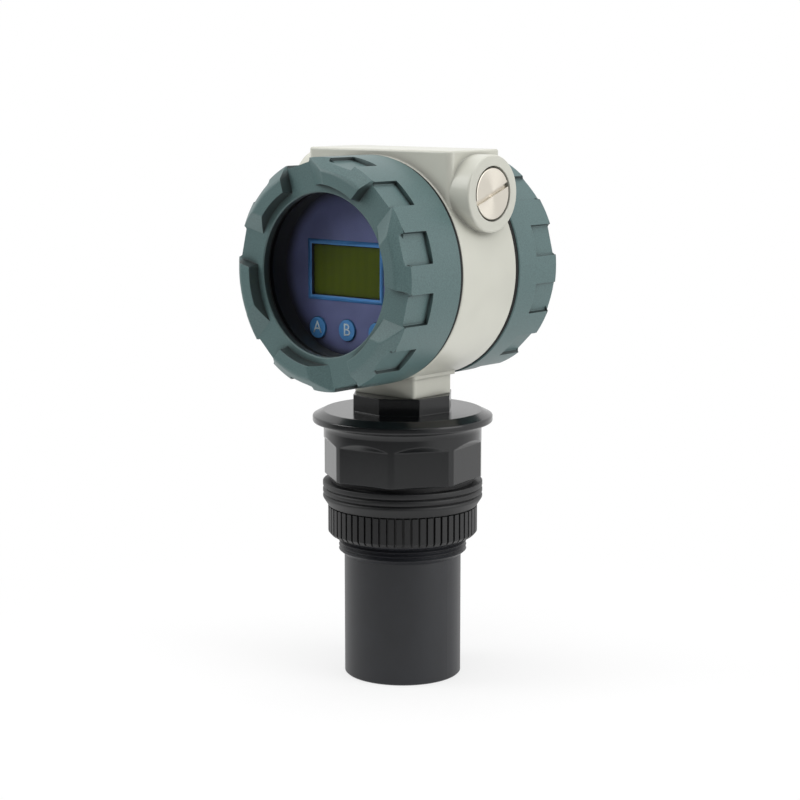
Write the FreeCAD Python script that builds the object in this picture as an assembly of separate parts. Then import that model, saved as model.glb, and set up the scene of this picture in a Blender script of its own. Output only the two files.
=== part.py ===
import FreeCAD, Part
import math
import os

# Ultrasonic level gauge: a two-cover transmitter head on a threaded transducer.
# Millimetres. +Z up along the sensor axis, origin at the centre of the transducer's lower end.
# The display looks along -Y, and the cable entries point along +X and -X.

# Head placing and covers
HEAD_AXIS_Z = 192.0
COVER_RADIUS = 52.0
COVER_BASE = 54.4
REAR_COVER_SHORTER = 5.9
REAR_COVER_BASE = COVER_BASE - REAR_COVER_SHORTER
COVER_MOUTH = 20.3
COVER_SKIRT_WALL = 6.7
COVER_BORE = COVER_RADIUS - COVER_SKIRT_WALL
COVER_FACE_WALL = 3.4
COVER_RIM_CHAMFER = 0.8
COVER_FACE_BAND = 15.5
WINDOW_RADIUS = COVER_RADIUS - COVER_FACE_BAND
WINDOW_EDGE_CHAMFER = 0.5
REAR_DISH_DEPTH = 2.0

# Cover lugs and side pockets
LUG_COUNT = 6
LUG_HEIGHT = 5.0
LUG_SLOPE_RUN = 5.3
LUG_TOP_WIDTH = 6.0
LUG_INNER_DRAFT = 1.0
LUG_TOP_OUTER_RADIUS = COVER_RADIUS - LUG_SLOPE_RUN
LUG_TOP_INNER_RADIUS = LUG_TOP_OUTER_RADIUS - LUG_TOP_WIDTH
LUG_FOOT_INNER_RADIUS = LUG_TOP_INNER_RADIUS - LUG_INNER_DRAFT
LUG_EDGE_ROUND = 1.2
GAP_CLOCK_DEG = 44.0
GAP_HALF_WIDTH = 7.25
LUG_STEEP_RUN = 1.1
LUG_RAMP_RUN = 9.2
POCKET_COUNT = 12
POCKET_WIDTH = 13.7
POCKET_LENGTH = 14.5
POCKET_DEPTH = 2.1

# Window in the front cover
WINDOW_SEAL_THICKNESS = 0.8
GLASS_THICKNESS = 4.0
GLASS_EDGE_MARGIN = 3.3
GLASS_RADIUS = COVER_BORE - GLASS_EDGE_MARGIN
WINDOW_RING_THICKNESS = 8.6
WINDOW_RING_STEP = 0.5
WINDOW_RING_BORE = WINDOW_RADIUS + WINDOW_RING_STEP
WINDOW_RING_PLAY = 0.1

# Housing
DRUM_STEP = 0.4
DRUM_RADIUS = COVER_RADIUS - DRUM_STEP
DRUM_HALF_WIDTH = 19.0
DRUM_EDGE_ROUND = 0.8
COVER_THREAD_PLAY = 0.3
NECK_RADIUS = COVER_BORE - COVER_THREAD_PLAY
NECK_END = 32.0
NECK_WALL = 4.0
HOUSING_BORE = NECK_RADIUS - NECK_WALL
PARTITION_Y = 10.0
PARTITION_THICKNESS = 3.0
WIRE_HOLE_RADIUS = 7.0
WIRE_HOLE_EDGE = 13.0
WIRE_HOLE_DROP = HOUSING_BORE - WIRE_HOLE_EDGE
COVER_SEAL_SECTION = 1.0
COVER_SEAL_STEP = 1.0

# Top pad and cable bosses
BOSS_RADIUS = 17.2
BOSS_OVER_COVER = 0.8
BOSS_REACH = COVER_RADIUS + BOSS_OVER_COVER
BOSS_DROP = 16.5
BOSS_LIFT = COVER_RADIUS - BOSS_DROP
BOSS_EDGE_ROUND = 0.8
PAD_HALF_LENGTH = 43.0
PAD_HALF_WIDTH = 17.8
PAD_OVER_BOSS = 1.8
PAD_CORNER_ROUND = 3.0
PAD_EDGE_ROUND = 1.0
ENTRY_BORE_RADIUS = 9.25
ENTRY_THREAD_LENGTH = 18.0
CABLE_WAY_RADIUS = 6.0
CABLE_WAY_INNER_X = 14.0
ENTRY_RECESS_RADIUS = 12.3
ENTRY_RECESS_DEPTH = 4.8

# Blanking plug
PLUG_RECESS_GAP = 0.8
PLUG_HEAD_RADIUS = ENTRY_RECESS_RADIUS - PLUG_RECESS_GAP
PLUG_HEAD_THICKNESS = 2.8
PLUG_SHANK_LENGTH = 12.0
PLUG_SHANK_PLAY = 0.08
PLUG_SLOT_WIDTH = 2.0
PLUG_SLOT_DEPTH = 1.6
PLUG_SLOT_TILT_DEG = 20.0
PLUG_SEAL_THICKNESS = 1.4
PLUG_SEAL_PLAY = 0.3
PLUG_SEAT_GAP = 0.1

# Foot of the housing and the socket for the sensor
FOOT_WIDTH = 36.6
FOOT_DEPTH = 26.8
FOOT_STEP = 1.5
FOOT_STEP_HEIGHT = 9.0
FOOT_EDGE_ROUND = 1.2
FOOT_Z = 133.5
SOCKET_RADIUS = 11.0
SOCKET_DEPTH = 13.0

# Sensor body: neck, flange and octagon
NECK_FLATS = 44.5
NECK_TURN_DEG = 37.0
FLANGE_RADIUS = 42.0
FLANGE_RIM_THICKNESS = 3.0
FLANGE_RIM_Z = 120.2
FLANGE_BEVEL_RUN = 5.0
FLANGE_BEVEL_RISE = 2.4
FLANGE_UNDER_ROUND = 3.5
FLANGE_EDGE_ROUND = 0.8
WAIST_RADIUS = 36.9
OCTAGON_SIDES = 8
OCTAGON_FLATS = 69.2
OCTAGON_TURN_DEG = 55.0
OCTAGON_Z = 94.6
OCTAGON_FLATS_TOP_Z = 111.0
OCTAGON_SLOPE_DEG = 50.0
OCTAGON_CUT_OVER = 0.5
STUD_PLAY = 0.1
STUD_LENGTH = 12.0
LEAD_HOLE_RADIUS = 2.4

# Transducer tube with the mounting thread
TUBE_RADIUS = 27.4
TUBE_WALL = 3.0
TUBE_END_CHAMFER = 0.5
THREAD_RADIUS = 30.0
THREAD_PITCH = 2.0
THREAD_DEPTH = 1.1
THREAD_END_Z = 58.5
THREAD_RUN_OUT = 1.2
TUBE_TOP_Z = 111.0
TUBE_SOCKET_PLAY = 0.1

# Lock nut and clamp ring on the thread
NUT_RADIUS = 35.0
NUT_Z = 65.6
NUT_TOP_Z = 80.9
NUT_LIP_HEIGHT = 3.3
NUT_LIP_RADIUS = 32.6
NUT_TOP_LIP = 0.6
NUT_RIB_COUNT = 60
NUT_RIB_DEPTH = 1.1
NUT_RIB_SHARE = 0.7
NUT_PLAY = 0.3
RING_RADIUS = 37.4
RING_TOP_Z = 94.2
RING_TAPER_Z = 84.6
RING_GROOVE_COUNT = 2
RING_GROOVE_Z = 86.3
RING_GROOVE_PITCH = 3.0
RING_GROOVE_DEPTH = 0.9
RING_GROOVE_WIDTH = 1.4
RING_TOP_CHAMFER = 1.8

# Transducer insides
FACE_THICKNESS = 4.0
PIEZO_RADIUS = 20.0
PIEZO_THICKNESS = 6.0
DAMPING_LENGTH = 32.0
INSIDE_PLAY = 0.1
LEAD_RADIUS = 2.0
LEAD_TOP_Z = 172.0

# Display behind the window, distances forward from the head's middle plane
WINDOW_STACK = WINDOW_SEAL_THICKNESS + GLASS_THICKNESS + WINDOW_RING_THICKNESS
PANEL_GAP = 1.1
PANEL_FRONT = COVER_BASE - COVER_FACE_WALL - WINDOW_STACK - PANEL_GAP
PANEL_THICKNESS = 2.0
PANEL_EDGE_GAP = 1.5
PANEL_RADIUS = HOUSING_BORE - PANEL_EDGE_GAP
SCREEN_WIDTH = 41.2
SCREEN_HEIGHT = 23.2
SCREEN_CENTRE_X = -1.2
SCREEN_CENTRE_LIFT = 0.5
SCREEN_RECESS = 1.2
SCREEN_PLAY = 0.3
LCD_MARGIN = 2.6
PANEL_STANDOFF = 6.5
DISPLAY_BOARD_FRONT = PANEL_FRONT - PANEL_THICKNESS - PANEL_STANDOFF
BOARD_THICKNESS = 1.6
BOARD_EDGE_GAP = 4.0
BOARD_RADIUS = HOUSING_BORE - BOARD_EDGE_GAP
POST_RADIUS = 2.6
POST_EDGE = 4.5
POST_CIRCLE = BOARD_RADIUS - POST_EDGE
POST_CLOCKS_DEG = (55.0, 125.0, 235.0, 305.0)
SCREW_HEAD_RADIUS = 2.5
SCREW_HEAD_HEIGHT = 1.8

# Keys
KEY_NAMES = ("key_a", "key_b", "key_c")
KEY_RADIUS = 4.8
KEY_SPACING = 17.9
KEY_DROP = 26.0
KEY_PROUD = 0.7
KEY_PLAY = 0.3
KEY_FLANGE_RADIUS = 6.0
KEY_FLANGE_THICKNESS = 0.9
KEY_SEAT_GAP = 0.2
KEY_STEM_RADIUS = 1.8
KEY_TRAVEL = 0.6
KEY_STOP_GAP = 0.2
SWITCH_SIDE = 6.0
SWITCH_BODY_HEIGHT = 2.2

# Boards and terminals
MAIN_BOARD_FRONT = 4.0
PILLAR_RADIUS = 2.75
PILLAR_CLOCKS_DEG = (20.0, 160.0, 200.0, 340.0)
PILLAR_EDGE = 5.0
PILLAR_CIRCLE = BOARD_RADIUS - PILLAR_EDGE
TERMINAL_COUNT = 6
TERMINAL_PITCH = 8.5
TERMINAL_DEPTH = 13.0
TERMINAL_HEIGHT = 16.0
TERMINAL_END_WALL = 2.0
TERMINAL_MOUTH_SIDE = 5.0
TERMINAL_MOUTH_DEPTH = 6.0
TERMINAL_SCREW_RADIUS = 2.4
TERMINAL_SCREW_SINK = 1.0
TERMINAL_SCREW_DEPTH = 3.0
TERMINAL_PILLAR_LENGTH = 4.0
TERMINAL_PILLAR_SPACING = 36.0
EARTH_CLOCK_DEG = 130.0
EARTH_EDGE = 10.0
EARTH_CIRCLE = HOUSING_BORE - EARTH_EDGE
EARTH_HEAD_RADIUS = 4.0
EARTH_HEAD_HEIGHT = 2.6
SCREW_SLOT_WIDTH = 0.8
SCREW_SLOT_DEPTH = 0.9

X_AXIS = FreeCAD.Vector(1, 0, 0)
Y_AXIS = FreeCAD.Vector(0, 1, 0)
Z_AXIS = FreeCAD.Vector(0, 0, 1)
ORIGIN = FreeCAD.Vector(0, 0, 0)
FULL_TURN = 360.0


def vec(x, y, z):
    return FreeCAD.Vector(x, y, z)


def turned(profile):
    """Solid of revolution about Z from (radius, height) points."""
    points = [vec(radius, 0, height) for radius, height in profile]
    wire = Part.makePolygon(points + points[:1])
    return Part.Face(wire).revolve(ORIGIN, Z_AXIS, FULL_TURN)


def disc(radius, bottom, top, bore=0.0):
    """Upright disc or ring between two heights."""
    solid = Part.makeCylinder(radius, top - bottom, vec(0, 0, bottom))
    if bore > 0:
        solid = solid.cut(Part.makeCylinder(bore, top - bottom, vec(0, 0, bottom)))
    return solid


def prism(points, bottom, top):
    """Upright prism on a polygon of (x, y) points."""
    corners = [vec(x, y, bottom) for x, y in points]
    wire = Part.makePolygon(corners + corners[:1])
    return Part.Face(wire).extrude(vec(0, 0, top - bottom))


def block(width, depth, height, centre):
    """Box of x width, y depth and z height about its centre."""
    corner = vec(centre[0] - width / 2, centre[1] - depth / 2, centre[2] - height / 2)
    return Part.makeBox(width, depth, height, corner)


def clock_point(radius, clock_deg):
    """Point on a face seen from outside, clockwise from twelve o'clock."""
    angle = math.radians(clock_deg)
    return radius * math.sin(angle), radius * math.cos(angle)


def facing_front(shape):
    """Turns a shape built along +Z so that it looks out of the front of the head."""
    placed = shape.copy()
    placed.rotate(ORIGIN, X_AXIS, 90)
    placed.translate(vec(0, 0, HEAD_AXIS_Z))
    return placed


def facing_rear(shape):
    """Turns a shape built along +Z so that it looks out of the rear of the head."""
    placed = facing_front(shape)
    placed.rotate(ORIGIN, Z_AXIS, 180)
    return placed


def facing_right(shape):
    """Turns a shape built along +Z so that it looks out of the right cable boss."""
    placed = shape.copy()
    placed.rotate(ORIGIN, Y_AXIS, 90)
    placed.translate(vec(0, 0, HEAD_AXIS_Z + BOSS_LIFT))
    return placed


def facing_left(shape):
    """Turns a shape built along +Z so that it looks out of the left cable boss."""
    placed = facing_right(shape)
    placed.rotate(ORIGIN, Z_AXIS, 180)
    return placed


def fillet_circles(shape, size, radius, height):
    """Rounds the circular edges of one radius at one height about Z."""
    tolerance = 1e-4
    edges = []
    for edge in shape.Edges:
        curve = edge.Curve
        if not isinstance(curve, Part.Circle):
            continue
        if abs(curve.Radius - radius) < tolerance and abs(curve.Center.z - height) < tolerance:
            edges.append(edge)
    return shape.makeFillet(size, edges)


def octagon(flats, turn_deg):
    """Corners of an octagon across its flats, with one flat's normal turned from the front towards +X."""
    side_turn = FULL_TURN / OCTAGON_SIDES
    corner_radius = flats / 2 / math.cos(math.radians(side_turn / 2))
    points = []
    for index in range(OCTAGON_SIDES):
        angle = math.radians(turn_deg - 90 + side_turn * (index + 0.5))
        points.append((corner_radius * math.cos(angle), corner_radius * math.sin(angle)))
    return points


def lug_ring(base):
    """Six lugs on a cover's face: a steep clockwise end, a long ramp and a sloped outer wall."""
    top = base + LUG_HEIGHT
    ring = turned([(LUG_FOOT_INNER_RADIUS, base), (COVER_RADIUS, base),
                   (LUG_TOP_OUTER_RADIUS, top), (LUG_TOP_INNER_RADIUS, top)])
    ring = fillet_circles(ring, LUG_EDGE_ROUND, LUG_TOP_OUTER_RADIUS, top)
    over = 2 * LUG_HEIGHT
    steep_lean = LUG_STEEP_RUN / LUG_HEIGHT
    ramp_lean = LUG_RAMP_RUN / LUG_HEIGHT
    section = [(-GAP_HALF_WIDTH, base), (GAP_HALF_WIDTH, base),
               (GAP_HALF_WIDTH + ramp_lean * over, base + over),
               (-GAP_HALF_WIDTH - steep_lean * over, base + over)]
    corners = [vec(across, 0, height) for across, height in section]
    gap = Part.Face(Part.makePolygon(corners + corners[:1])).extrude(vec(0, COVER_RADIUS + over, 0))
    for index in range(LUG_COUNT):
        cutter = gap.copy()
        cutter.rotate(ORIGIN, Z_AXIS, -GAP_CLOCK_DEG - index * FULL_TURN / LUG_COUNT)
        ring = ring.cut(cutter)
    return ring


def pocket_cutter(base):
    """One flat-floored pocket on a cover's side, open towards the lugs."""
    height = POCKET_LENGTH + 2 * LUG_HEIGHT
    floor = COVER_RADIUS - POCKET_DEPTH
    reach = 2 * POCKET_DEPTH + LUG_HEIGHT
    corner = vec(-POCKET_WIDTH / 2, floor, base - POCKET_LENGTH)
    return Part.makeBox(POCKET_WIDTH, reach, height, corner)


def cover_casting(window):
    """Screw cover built along +Z: a cup with lugs and pockets, open at the mouth."""
    base = COVER_BASE if window else REAR_COVER_BASE
    face_wall = COVER_FACE_WALL if window else COVER_FACE_WALL + REAR_DISH_DEPTH
    inner_face = base - face_wall
    body = turned([(0, inner_face), (COVER_BORE, inner_face), (COVER_BORE, COVER_MOUTH),
                   (COVER_RADIUS - COVER_RIM_CHAMFER, COVER_MOUTH),
                   (COVER_RADIUS, COVER_MOUTH + COVER_RIM_CHAMFER),
                   (COVER_RADIUS, base), (0, base)])
    body = body.fuse(lug_ring(base))
    for index in range(POCKET_COUNT):
        cutter = pocket_cutter(base)
        cutter.rotate(ORIGIN, Z_AXIS, -GAP_CLOCK_DEG - index * FULL_TURN / POCKET_COUNT)
        body = body.cut(cutter)
    if window:
        opening = turned([(0, inner_face), (WINDOW_RADIUS, inner_face),
                          (WINDOW_RADIUS, base - WINDOW_EDGE_CHAMFER),
                          (WINDOW_RADIUS + WINDOW_EDGE_CHAMFER, base), (0, base)])
    else:
        opening = turned([(0, base - REAR_DISH_DEPTH), (WINDOW_RADIUS, base - REAR_DISH_DEPTH),
                          (WINDOW_RADIUS + REAR_DISH_DEPTH, base), (0, base)])
    return body.cut(opening).removeSplitter()


def window_parts():
    """Seal, glass and threaded ring stacked behind the front cover's face."""
    seal_top = COVER_BASE - COVER_FACE_WALL
    glass_top = seal_top - WINDOW_SEAL_THICKNESS
    ring_top = glass_top - GLASS_THICKNESS
    ring_radius = COVER_BORE - WINDOW_RING_PLAY
    return {
        "window_seal": facing_front(disc(GLASS_RADIUS, glass_top, seal_top, WINDOW_RADIUS)),
        "window_glass": facing_front(disc(GLASS_RADIUS, ring_top, glass_top)),
        "window_ring": facing_front(disc(ring_radius, ring_top - WINDOW_RING_THICKNESS, ring_top,
                                         WINDOW_RING_BORE)),
    }


def cover_seal():
    """Rubber ring on the drum's shoulder, just clear of the cover's mouth."""
    outer = DRUM_RADIUS - COVER_SEAL_STEP
    return disc(outer, DRUM_HALF_WIDTH, DRUM_HALF_WIDTH + COVER_SEAL_SECTION, NECK_RADIUS)


def cable_boss():
    """Half of the cross boss, built along +Z from the head's axis, with a rounded mouth."""
    boss = Part.makeCylinder(BOSS_RADIUS, BOSS_REACH)
    return fillet_circles(boss, BOSS_EDGE_ROUND, BOSS_RADIUS, BOSS_REACH)


def cable_entry():
    """Recess, threaded hole and narrower cable way of a cable boss, built along +Z."""
    recess_floor = BOSS_REACH - ENTRY_RECESS_DEPTH
    thread_end = recess_floor - ENTRY_THREAD_LENGTH
    hole = disc(ENTRY_BORE_RADIUS, thread_end, recess_floor)
    hole = hole.fuse(disc(CABLE_WAY_RADIUS, CABLE_WAY_INNER_X, thread_end))
    return hole.fuse(disc(ENTRY_RECESS_RADIUS, recess_floor, BOSS_REACH))


def rounded_column(width, depth, bottom, top, corner_round):
    """Block on the sensor axis with rounded upright edges."""
    column = block(width, depth, top - bottom, (0, 0, (bottom + top) / 2))
    uprights = [edge for edge in column.Edges if abs(edge.BoundBox.ZLength - (top - bottom)) < 1e-6]
    return column.makeFillet(corner_round, uprights)


def top_pad():
    """Flat pad across the top of the head, rounded along its top and corners."""
    top = HEAD_AXIS_Z + BOSS_LIFT + BOSS_RADIUS + PAD_OVER_BOSS
    pad = rounded_column(2 * PAD_HALF_LENGTH, 2 * PAD_HALF_WIDTH, HEAD_AXIS_Z, top, PAD_CORNER_ROUND)
    rim = [edge for edge in pad.Edges if abs(edge.BoundBox.ZMin - top) < 1e-6]
    return pad.makeFillet(PAD_EDGE_ROUND, rim)


def housing():
    """Die-cast body: drum with two threaded necks, cross boss, top pad and stepped foot."""
    drum = disc(DRUM_RADIUS, -DRUM_HALF_WIDTH, DRUM_HALF_WIDTH)
    drum = fillet_circles(drum, DRUM_EDGE_ROUND, DRUM_RADIUS, DRUM_HALF_WIDTH)
    drum = fillet_circles(drum, DRUM_EDGE_ROUND, DRUM_RADIUS, -DRUM_HALF_WIDTH)
    drum = drum.fuse(disc(NECK_RADIUS, -NECK_END, NECK_END))
    body = facing_front(drum)
    body = body.fuse(facing_right(cable_boss()))
    body = body.fuse(facing_left(cable_boss()))
    body = body.fuse(top_pad())
    step_z = FOOT_Z + FOOT_STEP_HEIGHT
    body = body.fuse(rounded_column(FOOT_WIDTH, FOOT_DEPTH, FOOT_Z, step_z, FOOT_EDGE_ROUND))
    body = body.fuse(rounded_column(FOOT_WIDTH + 2 * FOOT_STEP, FOOT_DEPTH + 2 * FOOT_STEP,
                                    step_z, HEAD_AXIS_Z,
                                    FOOT_EDGE_ROUND))
    partition_front = -PARTITION_Y
    chamber = disc(HOUSING_BORE, partition_front, NECK_END)
    body = body.cut(facing_front(chamber))
    rear_chamber = disc(HOUSING_BORE, -NECK_END, partition_front - PARTITION_THICKNESS)
    body = body.cut(facing_front(rear_chamber))
    wire_hole = Part.makeCylinder(WIRE_HOLE_RADIUS, PARTITION_THICKNESS,
                                  vec(0, -WIRE_HOLE_DROP, partition_front - PARTITION_THICKNESS))
    body = body.cut(facing_front(wire_hole))
    body = body.cut(facing_right(cable_entry()))
    body = body.cut(facing_left(cable_entry()))
    body = body.cut(disc(SOCKET_RADIUS, FOOT_Z, FOOT_Z + SOCKET_DEPTH))
    body = body.cut(disc(LEAD_HOLE_RADIUS, FOOT_Z, HEAD_AXIS_Z - HOUSING_BORE / 2))
    return body.removeSplitter()


def blanking_plug():
    """Slotted plug and its seal, built along +Z and turned into the right cable entry."""
    seal_bottom = BOSS_REACH - ENTRY_RECESS_DEPTH + PLUG_SEAT_GAP
    head_bottom = seal_bottom + PLUG_SEAL_THICKNESS
    head_top = head_bottom + PLUG_HEAD_THICKNESS
    shank_radius = ENTRY_BORE_RADIUS - PLUG_SHANK_PLAY
    plug = disc(PLUG_HEAD_RADIUS, head_bottom, head_top)
    plug = plug.fuse(disc(shank_radius, head_bottom - PLUG_SHANK_LENGTH, head_bottom))
    slot = block(PLUG_SLOT_WIDTH, 3 * PLUG_HEAD_RADIUS, 2 * PLUG_SLOT_DEPTH, (0, 0, head_top))
    slot.rotate(ORIGIN, Z_AXIS, PLUG_SLOT_TILT_DEG)
    seal_bore = shank_radius + PLUG_SEAL_PLAY
    seal = disc(PLUG_HEAD_RADIUS, seal_bottom, head_bottom, seal_bore)
    return {"blanking_plug": facing_right(plug.cut(slot)), "plug_seal": facing_right(seal)}


def flat_cutter():
    """Tool for one flat of the octagon, upright along +X, with a top that slopes out of the round waist."""
    flat = OCTAGON_FLATS / 2
    reach = WAIST_RADIUS - flat + OCTAGON_CUT_OVER
    rise = reach * math.tan(math.radians(OCTAGON_SLOPE_DEG))
    section = [(flat, OCTAGON_Z), (flat + reach, OCTAGON_Z), (flat + reach, OCTAGON_FLATS_TOP_Z + rise),
               (flat, OCTAGON_FLATS_TOP_Z)]
    corners = [vec(x, -flat / 2, z) for x, z in section]
    return Part.Face(Part.makePolygon(corners + corners[:1])).extrude(vec(0, flat, 0))


def sensor_body():
    """Neck, flange and octagon in one moulding, with a socket for the tube and a stud for the housing."""
    rim_top = FLANGE_RIM_Z + FLANGE_RIM_THICKNESS
    flange_top = rim_top + FLANGE_BEVEL_RISE
    body = turned([(0, OCTAGON_Z), (WAIST_RADIUS, OCTAGON_Z), (WAIST_RADIUS, FLANGE_RIM_Z),
                   (FLANGE_RADIUS, FLANGE_RIM_Z), (FLANGE_RADIUS, rim_top),
                   (FLANGE_RADIUS - FLANGE_BEVEL_RUN, flange_top), (0, flange_top)])
    body = fillet_circles(body, FLANGE_UNDER_ROUND, WAIST_RADIUS, FLANGE_RIM_Z)
    body = fillet_circles(body, FLANGE_EDGE_ROUND, FLANGE_RADIUS, FLANGE_RIM_Z)
    body = fillet_circles(body, FLANGE_EDGE_ROUND, FLANGE_RADIUS, rim_top)
    for index in range(OCTAGON_SIDES):
        cutter = flat_cutter()
        cutter.rotate(ORIGIN, Z_AXIS, OCTAGON_TURN_DEG - 90 + FULL_TURN / OCTAGON_SIDES * index)
        body = body.cut(cutter)
    body = body.fuse(prism(octagon(NECK_FLATS, NECK_TURN_DEG), flange_top, FOOT_Z))
    body = body.fuse(disc(SOCKET_RADIUS - STUD_PLAY, FOOT_Z, FOOT_Z + STUD_LENGTH))
    body = body.cut(disc(THREAD_RADIUS + TUBE_SOCKET_PLAY, OCTAGON_Z, TUBE_TOP_Z))
    return body.cut(disc(LEAD_HOLE_RADIUS, TUBE_TOP_Z, FOOT_Z + STUD_LENGTH)).removeSplitter()


def transducer_tube():
    """Plain tube with the mounting thread above it, shown as turned ridges."""
    inner = TUBE_RADIUS - TUBE_WALL
    profile = [(inner, 0), (TUBE_RADIUS - TUBE_END_CHAMFER, 0), (TUBE_RADIUS, TUBE_END_CHAMFER),
               (TUBE_RADIUS, THREAD_END_Z - THREAD_RUN_OUT)]
    root = THREAD_RADIUS - THREAD_DEPTH
    profile.append((root, THREAD_END_Z))
    ridge_count = int((NUT_Z - THREAD_END_Z) / THREAD_PITCH)
    for index in range(ridge_count):
        bottom = THREAD_END_Z + index * THREAD_PITCH
        profile.append((THREAD_RADIUS, bottom + THREAD_PITCH / 2))
        profile.append((root, bottom + THREAD_PITCH))
    plain_z = THREAD_END_Z + ridge_count * THREAD_PITCH + THREAD_DEPTH
    profile += [(THREAD_RADIUS, plain_z), (THREAD_RADIUS, TUBE_TOP_Z), (inner, TUBE_TOP_Z)]
    return turned(profile)


def lock_nut():
    """Nut with straight ribs, a plain lower lip and a bore that runs on the tube's thread."""
    rib_turn = 2 * math.pi / NUT_RIB_COUNT
    root = NUT_RADIUS - NUT_RIB_DEPTH
    points = []
    for index in range(NUT_RIB_COUNT):
        start = index * rib_turn
        end = start + rib_turn * NUT_RIB_SHARE
        after = start + rib_turn
        points.append((NUT_RADIUS * math.cos(start), NUT_RADIUS * math.sin(start)))
        points.append((NUT_RADIUS * math.cos(end), NUT_RADIUS * math.sin(end)))
        points.append((root * math.cos(end), root * math.sin(end)))
        points.append((root * math.cos(after), root * math.sin(after)))
    nut = prism(points, NUT_Z, NUT_TOP_Z)
    trim = turned([(0, NUT_Z), (NUT_LIP_RADIUS, NUT_Z), (NUT_RADIUS, NUT_Z + NUT_LIP_HEIGHT),
                   (NUT_RADIUS, NUT_TOP_Z - NUT_TOP_LIP), (root, NUT_TOP_Z), (0, NUT_TOP_Z)])
    return nut.common(trim).cut(disc(THREAD_RADIUS + NUT_PLAY, NUT_Z, NUT_TOP_Z))


def clamp_ring():
    """Ring with turned grooves that the nut pushes up under the octagon, tapered down to the nut."""
    groove_root = RING_RADIUS - RING_GROOVE_DEPTH
    bore = THREAD_RADIUS + NUT_PLAY
    profile = [(bore, NUT_TOP_Z), (NUT_RADIUS, NUT_TOP_Z), (RING_RADIUS, RING_TAPER_Z)]
    for index in range(RING_GROOVE_COUNT):
        middle = RING_GROOVE_Z + RING_GROOVE_PITCH * index
        profile.append((RING_RADIUS, middle - RING_GROOVE_WIDTH / 2))
        profile.append((groove_root, middle))
        profile.append((RING_RADIUS, middle + RING_GROOVE_WIDTH / 2))
    profile += [(RING_RADIUS, RING_TOP_Z - RING_TOP_CHAMFER), (RING_RADIUS - RING_TOP_CHAMFER, RING_TOP_Z),
                (bore, RING_TOP_Z)]
    return turned(profile)


def transducer_insides():
    """Radiating face, piezo disc, damping block and the lead up to the main board."""
    radius = TUBE_RADIUS - TUBE_WALL - INSIDE_PLAY
    piezo_top = FACE_THICKNESS + PIEZO_THICKNESS
    damping_top = piezo_top + DAMPING_LENGTH
    return {
        "transducer_face": disc(radius, 0, FACE_THICKNESS),
        "piezo_disc": disc(PIEZO_RADIUS, FACE_THICKNESS, piezo_top),
        "damping_block": disc(radius, piezo_top, damping_top),
        "sensor_lead": disc(LEAD_RADIUS, damping_top, LEAD_TOP_Z),
    }


def posts(radius, bottom, top, circle, clocks):
    """Group of like round posts on a bolt circle, built along +Z."""
    solids = []
    for clock in clocks:
        x, y = clock_point(circle, clock)
        solids.append(Part.makeCylinder(radius, top - bottom, vec(x, y, bottom)))
    return solids


def slotted_head(radius, bottom, top, x, y):
    """Round screw head with a straight slot across its top."""
    head = Part.makeCylinder(radius, top - bottom, vec(x, y, bottom))
    slot = block(3 * radius, SCREW_SLOT_WIDTH, 2 * SCREW_SLOT_DEPTH, (x, y, top))
    return head.cut(slot)


def key_places():
    """Centres of the three keys on the display's face."""
    return [(KEY_SPACING * (index - 1), -KEY_DROP) for index in range(len(KEY_NAMES))]


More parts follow.
